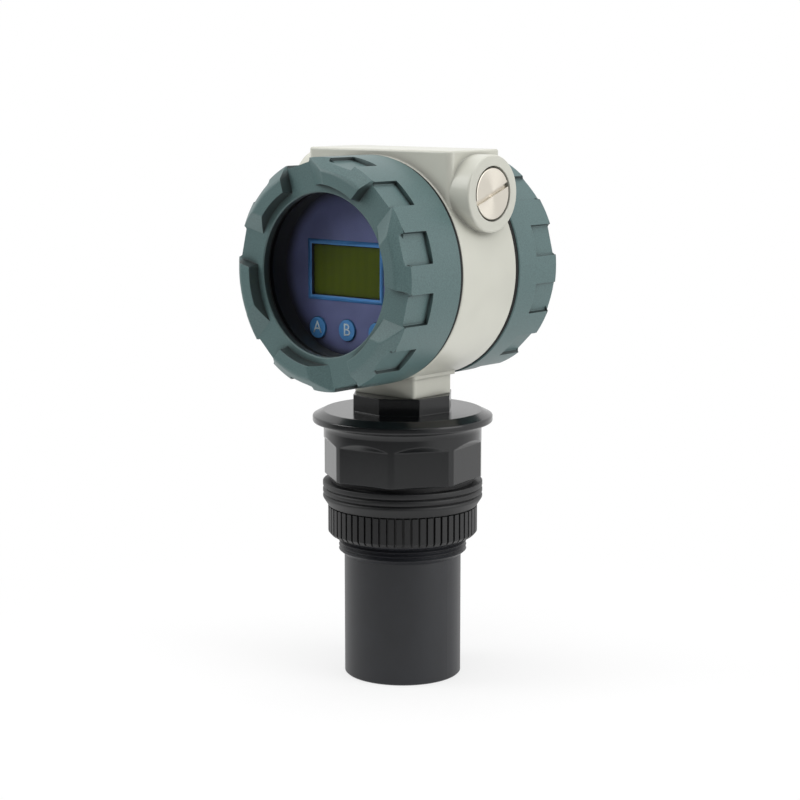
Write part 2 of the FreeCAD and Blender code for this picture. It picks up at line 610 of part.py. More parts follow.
def display_parts():
    """Panel, screen, keys, switches and board of the display, built along +Z and turned to the front."""
    panel_back = PANEL_FRONT - PANEL_THICKNESS
    panel = disc(PANEL_RADIUS, panel_back, PANEL_FRONT)
    panel = panel.cut(block(SCREEN_WIDTH, SCREEN_HEIGHT, 3 * PANEL_THICKNESS,
                            (SCREEN_CENTRE_X, SCREEN_CENTRE_LIFT, panel_back)))
    for x, y in key_places():
        panel = panel.cut(Part.makeCylinder(KEY_RADIUS + KEY_PLAY, PANEL_THICKNESS, vec(x, y, panel_back)))
    for post in posts(POST_RADIUS, DISPLAY_BOARD_FRONT, panel_back, POST_CIRCLE, POST_CLOCKS_DEG):
        panel = panel.fuse(post)
    module_width = SCREEN_WIDTH + 2 * LCD_MARGIN
    module_height = SCREEN_HEIGHT + 2 * LCD_MARGIN
    module_depth = panel_back - DISPLAY_BOARD_FRONT
    lcd = block(module_width, module_height, module_depth,
                (SCREEN_CENTRE_X, SCREEN_CENTRE_LIFT, DISPLAY_BOARD_FRONT + module_depth / 2))
    glass_depth = PANEL_THICKNESS - SCREEN_RECESS
    lcd = lcd.fuse(block(SCREEN_WIDTH - 2 * SCREEN_PLAY, SCREEN_HEIGHT - 2 * SCREEN_PLAY, glass_depth,
                         (SCREEN_CENTRE_X, SCREEN_CENTRE_LIFT, panel_back + glass_depth / 2)))
    nodes = {"display_panel": facing_front(panel.removeSplitter()), "lcd_module": facing_front(lcd)}
    flange_top = panel_back - KEY_SEAT_GAP
    flange_bottom = flange_top - KEY_FLANGE_THICKNESS
    switch_top = DISPLAY_BOARD_FRONT + SWITCH_BODY_HEIGHT
    switches = []
    for name, (x, y) in zip(KEY_NAMES, key_places()):
        key = Part.makeCylinder(KEY_RADIUS, PANEL_FRONT + KEY_PROUD - flange_top, vec(x, y, flange_top))
        key = key.fuse(Part.makeCylinder(KEY_FLANGE_RADIUS, KEY_FLANGE_THICKNESS, vec(x, y, flange_bottom)))
        stem_bottom = switch_top + KEY_TRAVEL + KEY_STOP_GAP
        stem = Part.makeCylinder(KEY_STEM_RADIUS, flange_bottom - stem_bottom, vec(x, y, stem_bottom))
        key = key.fuse(stem)
        nodes[name] = facing_front(key.removeSplitter())
        switches.append(block(SWITCH_SIDE, SWITCH_SIDE, SWITCH_BODY_HEIGHT,
                              (x, y, DISPLAY_BOARD_FRONT + SWITCH_BODY_HEIGHT / 2)))
    nodes["key_switches"] = facing_front(Part.makeCompound(switches))
    board_back = DISPLAY_BOARD_FRONT - BOARD_THICKNESS
    nodes["display_board"] = facing_front(disc(BOARD_RADIUS, board_back, DISPLAY_BOARD_FRONT))
    pillars = posts(PILLAR_RADIUS, MAIN_BOARD_FRONT, board_back, PILLAR_CIRCLE, PILLAR_CLOCKS_DEG)
    nodes["display_pillars"] = facing_front(Part.makeCompound(pillars))
    heads = []
    for clock in POST_CLOCKS_DEG:
        x, y = clock_point(POST_CIRCLE, clock)
        head = slotted_head(SCREW_HEAD_RADIUS, -board_back, SCREW_HEAD_HEIGHT - board_back, -x, y)
        head.rotate(ORIGIN, Y_AXIS, 180)
        heads.append(head)
    nodes["display_screws"] = facing_front(Part.makeCompound(heads))
    return nodes


def electronics():
    """Main board on the partition's front, terminals and earth screw on its rear."""
    board_back = MAIN_BOARD_FRONT - BOARD_THICKNESS
    pillars = posts(PILLAR_RADIUS, -PARTITION_Y, board_back, PILLAR_CIRCLE, PILLAR_CLOCKS_DEG)
    nodes = {
        "main_board": facing_front(disc(BOARD_RADIUS, board_back, MAIN_BOARD_FRONT)),
        "board_pillars": facing_front(Part.makeCompound(pillars)),
    }
    rear_wall = PARTITION_Y + PARTITION_THICKNESS
    base = rear_wall + TERMINAL_PILLAR_LENGTH
    top = base + TERMINAL_DEPTH
    length = TERMINAL_COUNT * TERMINAL_PITCH + 2 * TERMINAL_END_WALL
    terminal = block(length, TERMINAL_HEIGHT, TERMINAL_DEPTH, (0, 0, base + TERMINAL_DEPTH / 2))
    screws = []
    for index in range(TERMINAL_COUNT):
        x = TERMINAL_PITCH * (index - (TERMINAL_COUNT - 1) / 2)
        well = TERMINAL_SCREW_SINK + TERMINAL_SCREW_DEPTH
        terminal = terminal.cut(Part.makeCylinder(TERMINAL_SCREW_RADIUS, well, vec(x, 0, top - well)))
        mouth_y = -TERMINAL_HEIGHT / 2 + TERMINAL_MOUTH_DEPTH / 2
        mouth_z = base + TERMINAL_DEPTH / 2 - TERMINAL_SCREW_SINK
        terminal = terminal.cut(block(TERMINAL_MOUTH_SIDE, TERMINAL_MOUTH_DEPTH, TERMINAL_MOUTH_SIDE,
                                      (x, mouth_y, mouth_z)))
        screws.append(slotted_head(TERMINAL_SCREW_RADIUS - INSIDE_PLAY, top - well,
                                   top - TERMINAL_SCREW_SINK, x, 0))
    half = TERMINAL_PILLAR_SPACING / 2
    feet = [Part.makeCylinder(PILLAR_RADIUS, TERMINAL_PILLAR_LENGTH, vec(x, 0, rear_wall))
            for x in (-half, half)]
    earth_x, earth_y = clock_point(EARTH_CIRCLE, EARTH_CLOCK_DEG)
    earth = slotted_head(EARTH_HEAD_RADIUS, rear_wall, rear_wall + EARTH_HEAD_HEIGHT, earth_x, earth_y)
    nodes["terminal_block"] = facing_rear(terminal)
    nodes["terminal_screws"] = facing_rear(Part.makeCompound(screws))
    nodes["terminal_pillars"] = facing_rear(Part.makeCompound(feet))
    nodes["earth_screw"] = facing_rear(earth)
    return nodes


def build():
    nodes = {
        "housing": housing(),
        "front_cover": facing_front(cover_casting(window=True)),
        "rear_cover": facing_rear(cover_casting(window=False)),
        "front_cover_seal": facing_front(cover_seal()),
        "rear_cover_seal": facing_rear(cover_seal()),
        "sensor_body": sensor_body(),
        "transducer_tube": transducer_tube(),
        "lock_nut": lock_nut(),
        "clamp_ring": clamp_ring(),
    }
    nodes.update(window_parts())
    nodes.update(blanking_plug())
    nodes.update(transducer_insides())
    nodes.update(display_parts())
    nodes.update(electronics())
    return nodes


os.makedirs("parts", exist_ok=True)
for node, shape in build().items():
    if not shape.isValid():
        raise ValueError(node + " is not a valid solid")
    shape.exportStep("parts/" + node + ".step")
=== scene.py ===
"""Ultrasonic level gauge: finishes, castellated covers and small details around its solid frame."""

import math

import bmesh
import bpy
from mathutils import Matrix, Vector


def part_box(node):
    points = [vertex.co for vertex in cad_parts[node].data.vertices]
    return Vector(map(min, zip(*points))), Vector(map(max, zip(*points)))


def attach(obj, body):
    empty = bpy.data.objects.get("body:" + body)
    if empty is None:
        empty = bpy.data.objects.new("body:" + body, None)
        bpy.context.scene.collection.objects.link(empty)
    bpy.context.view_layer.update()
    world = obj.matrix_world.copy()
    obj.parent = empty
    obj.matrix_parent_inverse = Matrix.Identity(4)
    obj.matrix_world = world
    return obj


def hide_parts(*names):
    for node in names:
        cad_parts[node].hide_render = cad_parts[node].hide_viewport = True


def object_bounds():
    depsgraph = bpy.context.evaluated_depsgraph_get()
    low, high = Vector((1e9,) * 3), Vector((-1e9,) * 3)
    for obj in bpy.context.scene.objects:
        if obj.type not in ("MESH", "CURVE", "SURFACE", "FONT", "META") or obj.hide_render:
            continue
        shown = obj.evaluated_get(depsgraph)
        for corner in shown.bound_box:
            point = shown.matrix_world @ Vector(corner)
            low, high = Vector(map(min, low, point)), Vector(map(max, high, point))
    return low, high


bl_info = {
    "name": "Ultrasonic level gauge",
    "version": (1, 0, 0),
    "blender": (4, 5, 0),
    "location": "3D View > Sidebar > Gauge",
    "description": "Dresses an ultrasonic level gauge: covers, nut, plug, display, finishes and a studio",
    "category": "Object",
}

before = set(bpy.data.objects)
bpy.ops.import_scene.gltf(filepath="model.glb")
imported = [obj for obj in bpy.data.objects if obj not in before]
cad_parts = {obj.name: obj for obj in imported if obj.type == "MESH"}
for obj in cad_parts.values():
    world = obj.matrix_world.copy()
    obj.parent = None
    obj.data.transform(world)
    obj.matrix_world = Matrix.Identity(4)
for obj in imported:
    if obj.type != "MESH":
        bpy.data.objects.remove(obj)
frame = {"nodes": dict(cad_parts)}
CAD_LOW, CAD_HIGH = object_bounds()
MM = 0.001
FULL_TURN = 2 * math.pi

# Places that the frame gives
COVER_LOW, COVER_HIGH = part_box("front_cover")
HEAD_AXIS_Z = (COVER_LOW.z + COVER_HIGH.z) / 2
COVER_RADIUS_MM = (COVER_HIGH.x - COVER_LOW.x) / 2 / MM
COVER_TOP_MM = -COVER_LOW.y / MM
COVER_MOUTH_MM = -COVER_HIGH.y / MM
REAR_TOP_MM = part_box("rear_cover")[1].y / MM
SEAL_SHOULDER_MM = -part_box("front_cover_seal")[1].y / MM
RING_LOW, RING_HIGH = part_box("clamp_ring")
RING_RADIUS_MM = (RING_HIGH.x - RING_LOW.x) / 2 / MM
NUT_LOW, NUT_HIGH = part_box("lock_nut")
NUT_RADIUS_MM = (NUT_HIGH.x - NUT_LOW.x) / 2 / MM
SCREEN_LOW, SCREEN_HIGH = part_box("lcd_module")
PANEL_FRONT_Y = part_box("display_panel")[0].y
KEY_NAMES = ("key_a", "key_b", "key_c")
KEY_LETTERS = ("A", "B", "C")

# Cover mesh: columns across one sixth, counted from the middle of a gap between lugs
LUG_COUNT = 6
POCKET_COUNT = 12
STEEP_TOP_COLUMN = -24
GAP_COLUMN = 23
RAMP_TOP_COLUMN = 53
PITCH_COLUMNS = 150
POCKET_WALL_RUN_MM = 0.28

# How far the covers' mouths stand off their solids, so that the seals show
MOUTH_TRIM_MM = 0.5

# Mesh fineness
TURN_STEPS = 180
TINY_MM = 1e-4
SEAM_MM = 1e-3
COVER_SHARP_ANGLE = math.radians(20)
SHARP_ANGLE = math.radians(30)


def length(label, value, meaning, lowest):
    """Length property in millimetres."""
    return bpy.props.FloatProperty(name=label, description=meaning + ", in mm", default=value, min=lowest)


def angle(label, degrees, meaning):
    """Angle property, given in degrees."""
    value = math.radians(degrees)
    return bpy.props.FloatProperty(name=label, description=meaning, default=value, subtype="ANGLE")


def hex_colour(label, value, meaning):
    """Colour property as an sRGB hex value."""
    return bpy.props.StringProperty(name=label, description=meaning, default=value)


class GaugeCoverSizes(bpy.types.PropertyGroup):
    """Sizes of the castellated covers, in millimetres."""

    lug_height: length("Lug height", 5.0, "How far a lug stands out of the cover's face", 1.0)
    bore_radius: length("Bore radius", 45.3, "Radius inside the cover's skirt", 10.0)
    face_wall: length("Face wall", 3.4, "Thickness of the cover's face", 1.0)
    window_radius: length("Window radius", 36.5, "Radius of the opening or dish in the face", 5.0)
    dish_depth: length("Dish depth", 2.0, "Depth of the dish in the closed cover", 0.5)
    lug_foot_radius: length("Lug foot radius", 39.7, "Inner radius of a lug at its foot", 5.0)
    lug_inner_radius: length("Lug inner radius", 40.7, "Inner radius of a lug at its top", 5.0)
    lug_outer_radius: length("Lug outer radius", 46.7, "Outer radius of a lug's flat top", 5.0)
    lug_round: length("Lug rounding", 1.0, "Rounding along a lug's outer edge", 0.1)
    gap_clock: angle("Gap clock", 44, "Clock angle of the first gap between lugs")
    gap_half_width: length("Gap half width", 7.25, "Half of the flat gap between two lugs", 1.0)
    steep_run: length("Steep run", 1.1, "Run of a lug's steep end", 0.1)
    ramp_run: length("Ramp run", 9.2, "Run of a lug's long ramp", 0.1)
    pocket_width: length("Pocket width", 13.7, "Width of a side pocket", 1.0)
    pocket_length: length("Pocket length", 14.5, "Length of a side pocket along the cover", 1.0)
    pocket_depth: length("Pocket depth", 2.1, "Depth of a side pocket", 0.1)


class GaugeNutSizes(bpy.types.PropertyGroup):
    """Sizes of the lock nut and the clamp ring above it, in millimetres."""

    bore_radius: length("Bore radius", 30.3, "Radius inside the nut and ring", 5.0)
    rib_count: bpy.props.IntProperty(
        name="Rib count", description="Ribs round the nut", default=60, min=8)
    rib_depth: length("Rib depth", 1.1, "Depth of the grooves between ribs", 0.1)
    foot_trim: length("Foot trim", 1.2, "How far the nut ends above its solid", 0.0)
    foot_radius: length("Foot radius", 34.0, "Radius of the nut at its lower end", 5.0)
    foot_height: length("Foot height", 1.5, "Height of the taper at the nut's lower end", 0.1)
    foot_edge: length("Foot edge", 0.3, "Chamfer round the nut's lower end", 0.05)
    top_lip: length("Top lip", 0.6, "Height of the bevel at the upper end of the ribs", 0.05)
    taper_height: length("Taper height", 3.7, "Height of the ring's taper down to the nut", 0.1)
    groove_height: length("Groove height", 5.4, "First groove above the ring's lower end", 0.1)
    groove_pitch: length("Groove pitch", 3.0, "Distance between the ring's grooves", 0.1)
    groove_width: length("Groove width", 1.4, "Width of a groove in the ring", 0.1)
    groove_depth: length("Groove depth", 0.9, "Depth of a groove in the ring", 0.1)
    rim_drop: length("Rim drop", 2.0, "How far the ring's rim stands below its collar", 0.1)
    collar_radius: length("Collar radius", 33.2, "Radius of the collar inside the ring's rim", 5.0)


class GaugePlugSizes(bpy.types.PropertyGroup):
    """Sizes of the blanking plug, in millimetres."""

    front_lift: length("Front lift", 0.4, "How far the head stands out of its solid", 0.0)
    head_thickness: length("Head thickness", 2.8, "Thickness of the head's solid", 0.5)
    rim_round: length("Rim rounding", 0.5, "Rounding round the head", 0.1)
    shank_radius: length("Shank radius", 9.17, "Radius of the shank", 1.0)
    slot_width: length("Slot width", 2.0, "Width of the driver slot", 0.1)
    slot_depth: length("Slot depth", 1.6, "Depth of the driver slot", 0.1)
    slot_tilt: angle("Slot tilt", 20, "Tilt of the slot out of level")


class GaugeColours(bpy.types.PropertyGroup):
    """Colours of the finishes, as sRGB hex values."""

    housing: hex_colour("Housing", "#CACABF", "Sprayed enamel on the casting")
    cover: hex_colour("Cover", "#516969", "Powder coat on the covers")
    sensor: hex_colour("Sensor", "#0B0D0F", "Glossy moulded body")
    tube: hex_colour("Tube", "#16181D", "Satin transducer tube")
    nut: hex_colour("Nut", "#0B0C0E", "Moulded nut and ring")
    plug: hex_colour("Plug", "#DAD4C8", "Nickel plate on the plug")
    panel: hex_colour("Panel", "#6C6F9E", "Printed display panel")
    screen: hex_colour("Screen", "#545E02", "Unlit liquid crystal")
    frame: hex_colour("Frame", "#4C8CD0", "Printed frame of the screen")
    key: hex_colour("Key", "#4C90D2", "Moulded keys")
    letter: hex_colour("Letter", "#E6EEF2", "Letters on the keys")


def cover_sizes():
    """Present sizes of the covers."""
    return bpy.context.scene.gauge_cover_sizes


def nut_sizes():
    """Present sizes of the nut and ring."""
    return bpy.context.scene.gauge_nut_sizes


def plug_sizes():
    """Present sizes of the plug."""
    return bpy.context.scene.gauge_plug_sizes


def colours():
    """Present colours of the finishes."""
    return bpy.context.scene.gauge_colours


def linear(hex_value):
    """Linear RGBA of an sRGB hex value."""
    channels = [int(hex_value[start:start + 2], 16) / 255 for start in (1, 3, 5)]
    curved = [c / 12.92 if c <= 0.04045 else ((c + 0.055) / 1.055) ** 2.4 for c in channels]
    return (*curved, 1.0)


def add_node(tree, kind, inputs=None, **settings):
    """Adds a node, gives it its settings, and links or sets its inputs."""
    node = tree.nodes.new(kind)
    for name, value in settings.items():
        setattr(node, name, value)
    for name, value in (inputs or {}).items():
        if isinstance(value, bpy.types.NodeSocket):
            tree.links.new(value, node.inputs[name])
        else:
            node.inputs[name].default_value = value
    return node


def new_material(name):
    """Empty node material and its tree."""
    material = bpy.data.materials.new(name)
    material.use_nodes = True
    material.node_tree.nodes.clear()
    return material, material.node_tree


def per_mm(size_mm):
    """Texture scale that gives features of one size in millimetres."""
    return 1 / (size_mm * MM)


def wave_scale(period_mm):
    """Wave texture scale that gives bands or rings of one period in millimetres."""
    bands_per_scale = 20
    return FULL_TURN / bands_per_scale / (period_mm * MM)


def output(tree, shader):
    """Joins a shader to the material's output."""
    add_node(tree, "ShaderNodeOutputMaterial", {"Surface": shader})


def grain(tree, size_mm, detail=2.0):
    """Noise of one grain size on Object coordinates."""
    place = add_node(tree, "ShaderNodeTexCoord").outputs["Object"]
    noise = add_node(tree, "ShaderNodeTexNoise", {
        "Vector": place, "Scale": per_mm(size_mm), "Detail": detail})
    return noise.outputs["Fac"]


def soft_edges(tree, radius_mm):
    """Normal that rounds moulded and cast edges."""
    return add_node(tree, "ShaderNodeBevel", {"Radius": radius_mm * MM}, samples=6).outputs["Normal"]


def two_tone(tree, fac, dark, light, low=0.35, high=0.65):
    """Colour between two near shades, spread over the grain."""
    ramp = add_node(tree, "ShaderNodeValToRGB", {"Fac": fac})
    ramp.color_ramp.elements[0].position = low
    ramp.color_ramp.elements[0].color = dark
    ramp.color_ramp.elements[1].position = high
    ramp.color_ramp.elements[1].color = light
    return ramp.outputs["Color"]


def scaled_colour(tree, colour, factor):
    """Colour scaled by a factor that varies over the surface."""
    scaled = add_node(tree, "ShaderNodeVectorMath", {0: colour, "Scale": factor}, operation="SCALE")
    return scaled.outputs["Vector"]


def painted_corner_shade(tree, colour, reach_mm, darkest):
    """Colour darkened where surfaces close in: painted shade in corners and recesses."""
    near = add_node(tree, "ShaderNodeAmbientOcclusion", {"Distance": reach_mm * MM}, samples=8)
    factor = add_node(tree, "ShaderNodeMapRange", {
        "Value": near.outputs["AO"], "From Min": 0.5, "From Max": 0.85, "To Min": darkest, "To Max": 1.0})
    return scaled_colour(tree, colour, factor.outputs["Result"])


def shade(colour, factor):
    """Linear colour scaled in brightness."""
    return (colour[0] * factor, colour[1] * factor, colour[2] * factor, 1.0)


def roughness_between(tree, fac, low, high):
    """Roughness that follows the grain."""
    spread = add_node(tree, "ShaderNodeMapRange", {"Value": fac, "To Min": low, "To Max": high})
    return spread.outputs["Result"]


def sprayed_enamel():
    """Sprayed enamel on die-cast aluminium: smooth warm light grey, faint orange peel, painted shade in
    corners.
    """
    material, tree = new_material("sprayed enamel on cast aluminium")
    base = linear(colours().housing)
    clouds = grain(tree, size_mm=30.0)
    peel = grain(tree, size_mm=1.2)
    cloudy = two_tone(tree, clouds, shade(base, 0.96), shade(base, 1.03))
    normal = add_node(tree, "ShaderNodeBump", {"Height": peel, "Strength": 0.06, "Distance": 0.1 * MM,
                                               "Normal": soft_edges(tree, radius_mm=0.9)})
    # Painted shade: the colour darkens in the casting's corners and recesses
    shader = add_node(tree, "ShaderNodeBsdfPrincipled", {
        "Base Color": painted_corner_shade(tree, cloudy, reach_mm=6.0, darkest=0.7),
        "Roughness": roughness_between(tree, peel, low=0.26, high=0.34),
        "IOR": 1.5, "Normal": normal.outputs["Normal"]})
    output(tree, shader.outputs["BSDF"])
    return material


def painted_wall_shade(tree, colour, darkest):
    """Colour darkened on inner walls and ends of a cover's lugs and pockets: painted shade on walls square
    to the face.
    """
    spot = add_node(tree, "ShaderNodeTexCoord")
    from_axis = add_node(tree, "ShaderNodeVectorMath", {0: spot.outputs["Object"], 1: (0, 0, HEAD_AXIS_Z)},
                         operation="SUBTRACT")
    across = add_node(tree, "ShaderNodeVectorMath", {0: from_axis.outputs["Vector"], 1: (1, 0, 1)},
                      operation="MULTIPLY")
    outward = add_node(tree, "ShaderNodeVectorMath", {0: across.outputs["Vector"]}, operation="NORMALIZE")
    normal = spot.outputs["Normal"]
    looking_out = add_node(tree, "ShaderNodeVectorMath", {0: normal, 1: outward.outputs["Vector"]},
                           operation="DOT_PRODUCT")
    along = add_node(tree, "ShaderNodeSeparateXYZ", {"Vector": normal})
    facing = add_node(tree, "ShaderNodeMath", {0: along.outputs["Y"]}, operation="ABSOLUTE")
    square = add_node(tree, "ShaderNodeMapRange", {
        "Value": facing.outputs[0], "From Min": 0.25, "From Max": 0.8, "To Min": 1.0, "To Max": 0.0})
    inward = add_node(tree, "ShaderNodeMapRange", {
        "Value": looking_out.outputs["Value"], "From Max": 0.6, "To Min": 1.0, "To Max": 0.0})
    wall = add_node(tree, "ShaderNodeMath", {0: square.outputs["Result"], 1: inward.outputs["Result"]},
                    operation="MULTIPLY")
    factor = add_node(tree, "ShaderNodeMapRange", {
        "Value": wall.outputs[0], "To Min": 1.0, "To Max": darkest})
    return scaled_colour(tree, colour, factor.outputs["Result"])


def powder_coat():
    """Fine textured powder coat: pimples that break up the light on a dark green-grey; painted shade on
    walls and corners.
    """
    material, tree = new_material("textured powder coat")
    base = linear(colours().cover)
    pimples = grain(tree, size_mm=0.55, detail=3.0)
    mottled = two_tone(tree, pimples, shade(base, 0.86), shade(base, 1.14))
    normal = add_node(tree, "ShaderNodeBump", {"Height": pimples, "Strength": 0.35, "Distance": 0.12 * MM,
                                               "Normal": soft_edges(tree, radius_mm=0.25)})
    # Painted shade: lug and pocket walls and ends go darker, then corners and recesses go darker too
    wall_shaded = painted_wall_shade(tree, mottled, darkest=0.25)
    shader = add_node(tree, "ShaderNodeBsdfPrincipled", {
        "Base Color": painted_corner_shade(tree, wall_shaded, reach_mm=6.0, darkest=0.1),
        "Roughness": roughness_between(tree, pimples, low=0.36, high=0.5),
        "IOR": 1.5, "Normal": normal.outputs["Normal"]})
    output(tree, shader.outputs["BSDF"])
    return material


def moulded_plastic(name, hex_value, roughness, grain_mm, edge_mm, corner_shade_mm=0.0):
    """Moulded, cast or printed material: even colour, slight flow marks, a smooth skin; painted shade in
    corners if a reach is given.
    """
    material, tree = new_material(name)
    base = linear(hex_value)
    flow = grain(tree, size_mm=14.0)
    skin = grain(tree, grain_mm)
    normal = add_node(tree, "ShaderNodeBump", {"Height": skin, "Strength": 0.05, "Distance": 0.08 * MM,
                                               "Normal": soft_edges(tree, edge_mm)})
    colour = two_tone(tree, flow, shade(base, 0.9), shade(base, 1.1))
    # Painted shade: darker where surfaces close in round the piece
    if corner_shade_mm:
        colour = painted_corner_shade(tree, colour, reach_mm=corner_shade_mm, darkest=0.15)
    shader = add_node(tree, "ShaderNodeBsdfPrincipled", {
        "Base Color": colour,
        "Roughness": roughness_between(tree, skin, low=roughness - 0.04, high=roughness + 0.05),
        "IOR": 1.5, "Normal": normal.outputs["Normal"]})
    output(tree, shader.outputs["BSDF"])
    return material


def turned_metal(name, hex_value, roughness, centre, axis_turn, axis):
    """Turned metal: fine rings from the lathe tool about one axis, so highlights fan out from it."""
    material, tree = new_material(name)
    place = add_node(tree, "ShaderNodeTexCoord").outputs["Object"]
    mapping = add_node(tree, "ShaderNodeMapping", {
        "Vector": place, "Location": centre, "Rotation": axis_turn}, vector_type="TEXTURE")
    rings = add_node(tree, "ShaderNodeTexWave", {
        "Vector": mapping.outputs["Vector"], "Scale": wave_scale(period_mm=0.7), "Distortion": 0.8,
        "Detail": 2.0}, wave_type="RINGS", rings_direction="Z")
    normal = add_node(tree, "ShaderNodeBump", {
        "Height": rings.outputs["Fac"], "Strength": 0.05, "Distance": 0.05 * MM,
        "Normal": soft_edges(tree, radius_mm=0.3)})
    tangent = add_node(tree, "ShaderNodeTangent", direction_type="RADIAL", axis=axis)
    base = linear(hex_value)
    shader = add_node(tree, "ShaderNodeBsdfPrincipled", {
        "Base Color": two_tone(tree, rings.outputs["Fac"], shade(base, 0.92), base), "Metallic": 1.0,
        "Roughness": roughness, "Anisotropic": 0.8, "Tangent": tangent.outputs["Tangent"],
        "Normal": normal.outputs["Normal"]})
    output(tree, shader.outputs["BSDF"])
    return material


def window_pane():
    """Toughened glass with a thin coat against glare: clear, faintly mirroring, and lets lamps shine in."""
    material, tree = new_material("toughened glass")
    tint = linear("#F4F8F8")
    glass = add_node(tree, "ShaderNodeBsdfPrincipled", {
        "Base Color": tint, "Roughness": 0.0, "IOR": 1.3, "Transmission Weight": 1.0})
    clear = add_node(tree, "ShaderNodeBsdfTransparent", {"Color": tint})
    rays = add_node(tree, "ShaderNodeLightPath")
    pane = add_node(tree, "ShaderNodeMixShader", {"Fac": rays.outputs["Is Shadow Ray"]})
    tree.links.new(glass.outputs["BSDF"], pane.inputs[1])
    tree.links.new(clear.outputs["BSDF"], pane.inputs[2])
    output(tree, pane.outputs["Shader"])
    return material


def liquid_crystal():
    """Unlit liquid crystal under a polariser: deep olive, faint columns of cells, and painted shade along
    its recessed edges.
    """
    material, tree = new_material("liquid crystal under a polariser")
    base = linear(colours().screen)
    place = add_node(tree, "ShaderNodeTexCoord").outputs["Object"]
    columns = add_node(tree, "ShaderNodeTexWave", {
        "Vector": place, "Scale": wave_scale(period_mm=5.0), "Distortion": 0.0},
        wave_type="BANDS", bands_direction="X")
    cells = two_tone(tree, columns.outputs["Fac"], shade(base, 0.97), shade(base, 1.03))
    # Painted shade: darker along the edges of the recess round the screen
    shader = add_node(tree, "ShaderNodeBsdfPrincipled", {
        "Base Color": painted_corner_shade(tree, cells, reach_mm=4.0, darkest=0.1), "Roughness": 0.25, "IOR": 1.5})
    output(tree, shader.outputs["BSDF"])
    return material


def solder_mask():
    """Green solder mask on glass-fibre board: satin, with copper pads showing as small pale squares."""
    material, tree = new_material("solder mask on glass-fibre board")
    place = add_node(tree, "ShaderNodeTexCoord").outputs["Object"]
    cells = add_node(tree, "ShaderNodeTexVoronoi", {"Vector": place, "Scale": per_mm(size_mm=3.0)},
                     distance="CHEBYCHEV")
    green = linear("#1F6B3E")
    copper = linear("#B9A774")
    shader = add_node(tree, "ShaderNodeBsdfPrincipled", {
        "Base Color": two_tone(tree, cells.outputs["Distance"], copper, green, low=0.12, high=0.16),
        "Roughness": 0.4, "IOR": 1.5})
    output(tree, shader.outputs["BSDF"])
    return material


def dress(node_name, material):
    """Gives a solid of the frame its finish."""
    piece = frame["nodes"][node_name]
    piece.data.materials.clear()
    piece.data.materials.append(material)


def finish_piece(bm, name, material, body, replaced=()):
    """Turns a bmesh in metres into a smooth piece that rides on a body."""
    mesh = bpy.data.meshes.new(name)
    bm.to_mesh(mesh)
    bm.free()
    mesh.materials.append(material)
    mesh.polygons.foreach_set("use_smooth", [True] * len(mesh.polygons))
    piece = bpy.data.objects.new(name, mesh)
    bpy.context.scene.collection.objects.link(piece)
    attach(piece, body)
    if replaced:
        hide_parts(*replaced)
    return piece


def outline(bm, corners, closed):
    """Wire of (radius, height) corners in the XZ plane. Returns its vertices."""
    verts = [bm.verts.new((radius, 0, height)) for radius, height in corners]
    for start, end in zip(verts, verts[1:]):
        bm.edges.new((start, end))
    if closed:
        bm.edges.new((verts[-1], verts[0]))
    return verts


def round_corner(bm, vert, radius, segments=6):
    """Rounds one corner of a wire."""
    bmesh.ops.bevel(bm, geom=[vert], offset=radius, offset_type="OFFSET", segments=segments, profile=0.5,
                    affect="VERTICES", material=-1)


def divide_wire(bm, step_at):
    """Divides each edge of a wire into steps, as long as step_at allows at its middle."""
    for edge in list(bm.edges):
        middle = (edge.verts[0].co + edge.verts[1].co) / 2
        cuts = math.ceil(edge.calc_length() / step_at(middle)) - 1
        if cuts > 0:
            bmesh.ops.subdivide_edges(bm, edges=[edge], cuts=cuts)


def cover_wire(bm, window, base):
    """Section of a cover in millimetres, X outward and Z towards its face."""
    size = cover_sizes()
    top = base + size.lug_height
    inner_face = base - size.face_wall - (0 if window else size.dish_depth)
    rim = 0.5
    lip = 0.5
    lug_inner_round = 0.25
    mouth = COVER_MOUTH_MM + MOUTH_TRIM_MM
    outer = COVER_RADIUS_MM
    pocket_back = base - size.pocket_length
    if window:
        start = [(size.window_radius, inner_face), (size.window_radius, base - lip),
                 (size.window_radius + lip, base)]
    else:
        start = [(0, base - size.dish_depth), (size.window_radius, base - size.dish_depth),
                 (size.window_radius + size.dish_depth, base)]
    face = [(size.lug_foot_radius, base), (size.lug_inner_radius, top), (size.lug_outer_radius, top),
            (outer, base)]
    skirt = [(outer, pocket_back), (outer, pocket_back - POCKET_WALL_RUN_MM), (outer, mouth + rim),
             (outer - rim, mouth), (size.bore_radius, mouth), (size.bore_radius, inner_face)]
    end = [] if window else [(0, inner_face)]
    verts = outline(bm, start + face + skirt + end, closed=window)
    first_face = len(start)
    lug_inner = verts[first_face + 1]
    lug_outer = verts[first_face + 2]
    round_corner(bm, lug_inner, lug_inner_round)
    round_corner(bm, lug_outer, size.lug_round)
    fine_step = 0.6
    coarse_step = 6.0
    fine_margin = 0.1

    def step_at(point):
        fine = point.z > pocket_back and point.x > size.lug_foot_radius - fine_margin
        return fine_step if fine else coarse_step

    divide_wire(bm, step_at)


def spin_sector(bm):
    """Turns a wire in the XZ plane through one sixth of a cover, from the top of a lug's steep end."""
    pitch = FULL_TURN / LUG_COUNT
    first_clock = cover_sizes().gap_clock + STEEP_TOP_COLUMN * pitch / PITCH_COLUMNS
    to_start = Matrix.Rotation(math.radians(90) - first_clock, 4, "Z")
    bmesh.ops.transform(bm, matrix=to_start, verts=list(bm.verts))
    geometry = list(bm.verts) + list(bm.edges)
    bmesh.ops.spin(bm, geom=geometry, cent=(0, 0, 0), axis=(0, 0, -1), angle=pitch, steps=PITCH_COLUMNS,
                   use_merge=False)


